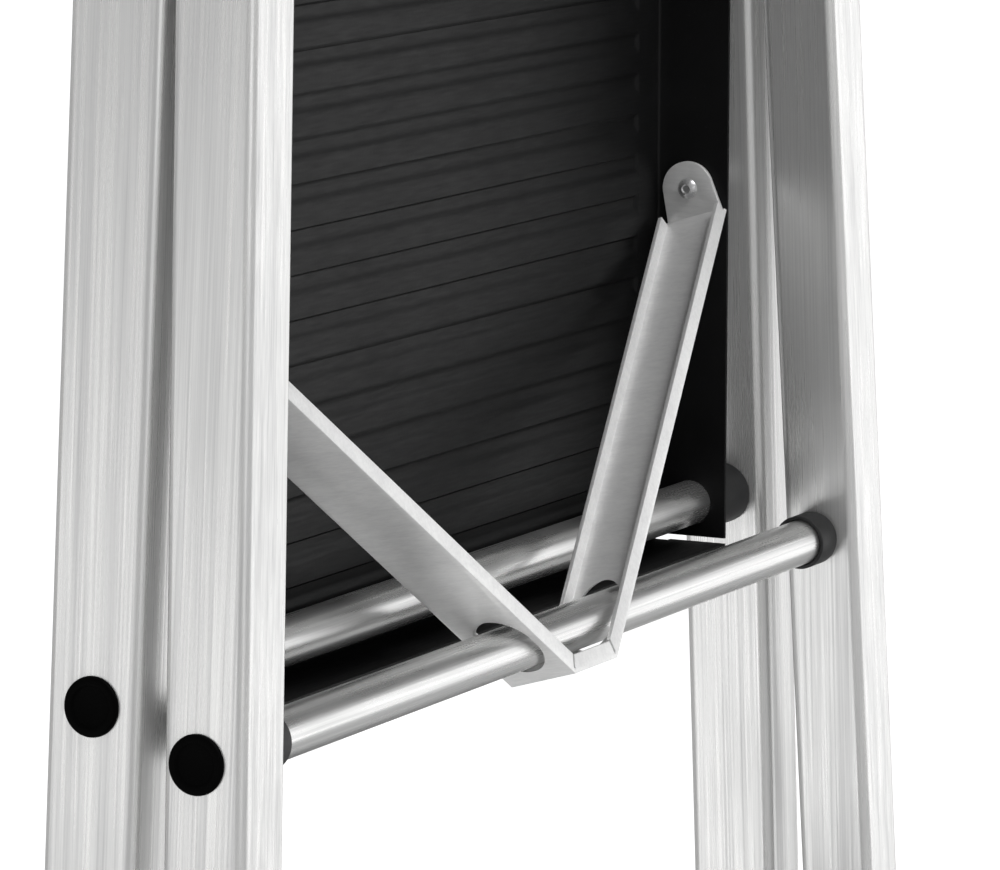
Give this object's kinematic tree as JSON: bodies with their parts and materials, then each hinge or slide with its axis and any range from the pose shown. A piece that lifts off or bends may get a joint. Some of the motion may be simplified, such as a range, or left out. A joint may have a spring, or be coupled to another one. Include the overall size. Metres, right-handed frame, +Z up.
{
  "type": "folding step stool",
  "caption": "Folding step stool with splayed brushed metal frames, a folding black platform on a V-shaped link, a lower tread and a hand rail.",
  "frame": {"origin": "centre of the folded stool's outline at floor level", "axes": "+Z up, +Y towards the rear frame, +X to the right of someone who climbs it"},
  "size_m": [0.5256, 0.1226, 0.9464],
  "materials": {
    "leg_metal": "brushed",
    "tube_metal": "satin",
    "link_steel": "satin",
    "rivet_steel": "satin",
    "tread_black": "satin",
    "black_plastic": "matt",
    "foot_rubber": "matt"
  },
  "bodies": {
    "front_frame": {"front_leg_left": "leg_metal", "front_leg_right": "leg_metal", "front_foot_left": "foot_rubber", "front_foot_right": "foot_rubber", "hinge_block_left": "black_plastic", "hinge_block_right": "black_plastic", "hinge_pins": "rivet_steel", "hand_rail": "tube_metal", "rail_corner_left": "black_plastic", "rail_corner_right": "black_plastic", "lower_tread": "tread_black", "tread_rivets": "rivet_steel", "platform_tube": "tube_metal", "bushing_left": "black_plastic", "bushing_right": "black_plastic", "platform_plugs": "black_plastic"},
    "rear_frame": {"rear_leg_left": "leg_metal", "rear_leg_right": "leg_metal", "rear_foot_left": "foot_rubber", "rear_foot_right": "foot_rubber", "hinge_knuckle_left": "black_plastic", "hinge_knuckle_right": "black_plastic", "rear_brace": "tube_metal", "brace_collars": "black_plastic", "brace_plugs": "black_plastic", "crossbar_plugs": "black_plastic"},
    "platform": {"platform_tray": "tread_black"},
    "link": {"v_link": "link_steel", "link_rivets": "rivet_steel", "rear_crossbar": "tube_metal", "crossbar_collar_left": "black_plastic", "crossbar_collar_right": "black_plastic"}
  },
  "joints": [
    {"name": "frame_fold", "type": "hinge", "parent": "front_frame", "child": "rear_frame", "pos_m": [0, 0.02408, 0.79637], "axis": [1, 0, 0], "range_deg": [0, 34.37]},
    {"name": "platform_fold", "type": "hinge", "parent": "front_frame", "child": "platform", "pos_m": [0, -0.00192, 0.47], "axis": [-1, 0, 0], "range_deg": [0, 72.01]},
    {"name": "link_fold", "type": "hinge", "parent": "platform", "child": "link", "pos_m": [0, -0.00292, 0.5765], "axis": [1, 0, 0], "range_deg": [0, 153.41]}
  ],
  "couplings": [
    {"joint": "platform_fold", "follows": "frame_fold", "ratio": 2.0946},
    {"joint": "link_fold", "follows": "frame_fold", "ratio": 4.4625}
  ]
}
